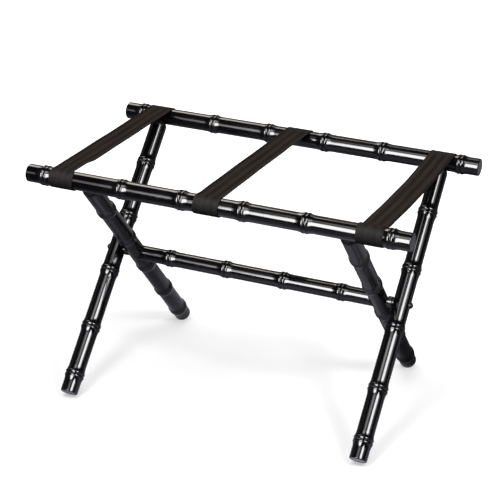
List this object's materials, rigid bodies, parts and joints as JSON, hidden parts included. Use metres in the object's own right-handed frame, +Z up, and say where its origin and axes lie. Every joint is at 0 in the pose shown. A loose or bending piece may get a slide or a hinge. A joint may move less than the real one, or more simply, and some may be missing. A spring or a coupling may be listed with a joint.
{
  "type": "folding luggage rack",
  "caption": "Folding luggage rack: crossed frames of glossy black bamboo-look turned poles, a stretcher on the pivot line and webbing straps that a suitcase rests on.",
  "frame": {"origin": "on the floor, midway between the four feet, under the middle of the rack", "axes": "+X along the rails towards their right ends, +Y from the front rail to the back rail, +Z up"},
  "size_m": [0.71, 0.418, 0.4472],
  "materials": {
    "lacquered_wood": "high-gloss black lacquer on turned hardwood",
    "webbing": "black-brown woven webbing with lengthwise ribs",
    "black_metal": "gloss black coated steel",
    "black_plastic": "black nylon",
    "brass": "plain brass, hidden inside the stretcher"
  },
  "bodies": {
    "inner_frame": {"front_rail": "lacquered_wood", "inner_leg_left": "lacquered_wood", "inner_leg_right": "lacquered_wood", "stretcher": "lacquered_wood", "pivot_bolt_left": "black_metal", "pivot_bolt_right": "black_metal", "pivot_washer_left": "black_plastic", "pivot_washer_right": "black_plastic", "pivot_spacer_left": "black_metal", "pivot_spacer_right": "black_metal", "pivot_insert_left": "brass", "pivot_insert_right": "brass", "strap_left": "webbing", "strap_middle": "webbing", "strap_right": "webbing", "front_rail_tacks": "black_metal"},
    "outer_frame": {"back_rail": "lacquered_wood", "outer_leg_left": "lacquered_wood", "outer_leg_right": "lacquered_wood", "back_rail_tacks": "black_metal"}
  },
  "joints": [
    {"name": "fold", "type": "hinge", "parent": "inner_frame", "child": "outer_frame", "pos_m": [0, 0, 0.22364], "axis": [1, 0, 0], "range_deg": [0, 78], "deforming": ["strap_left", "strap_middle", "strap_right"]}
  ]
}
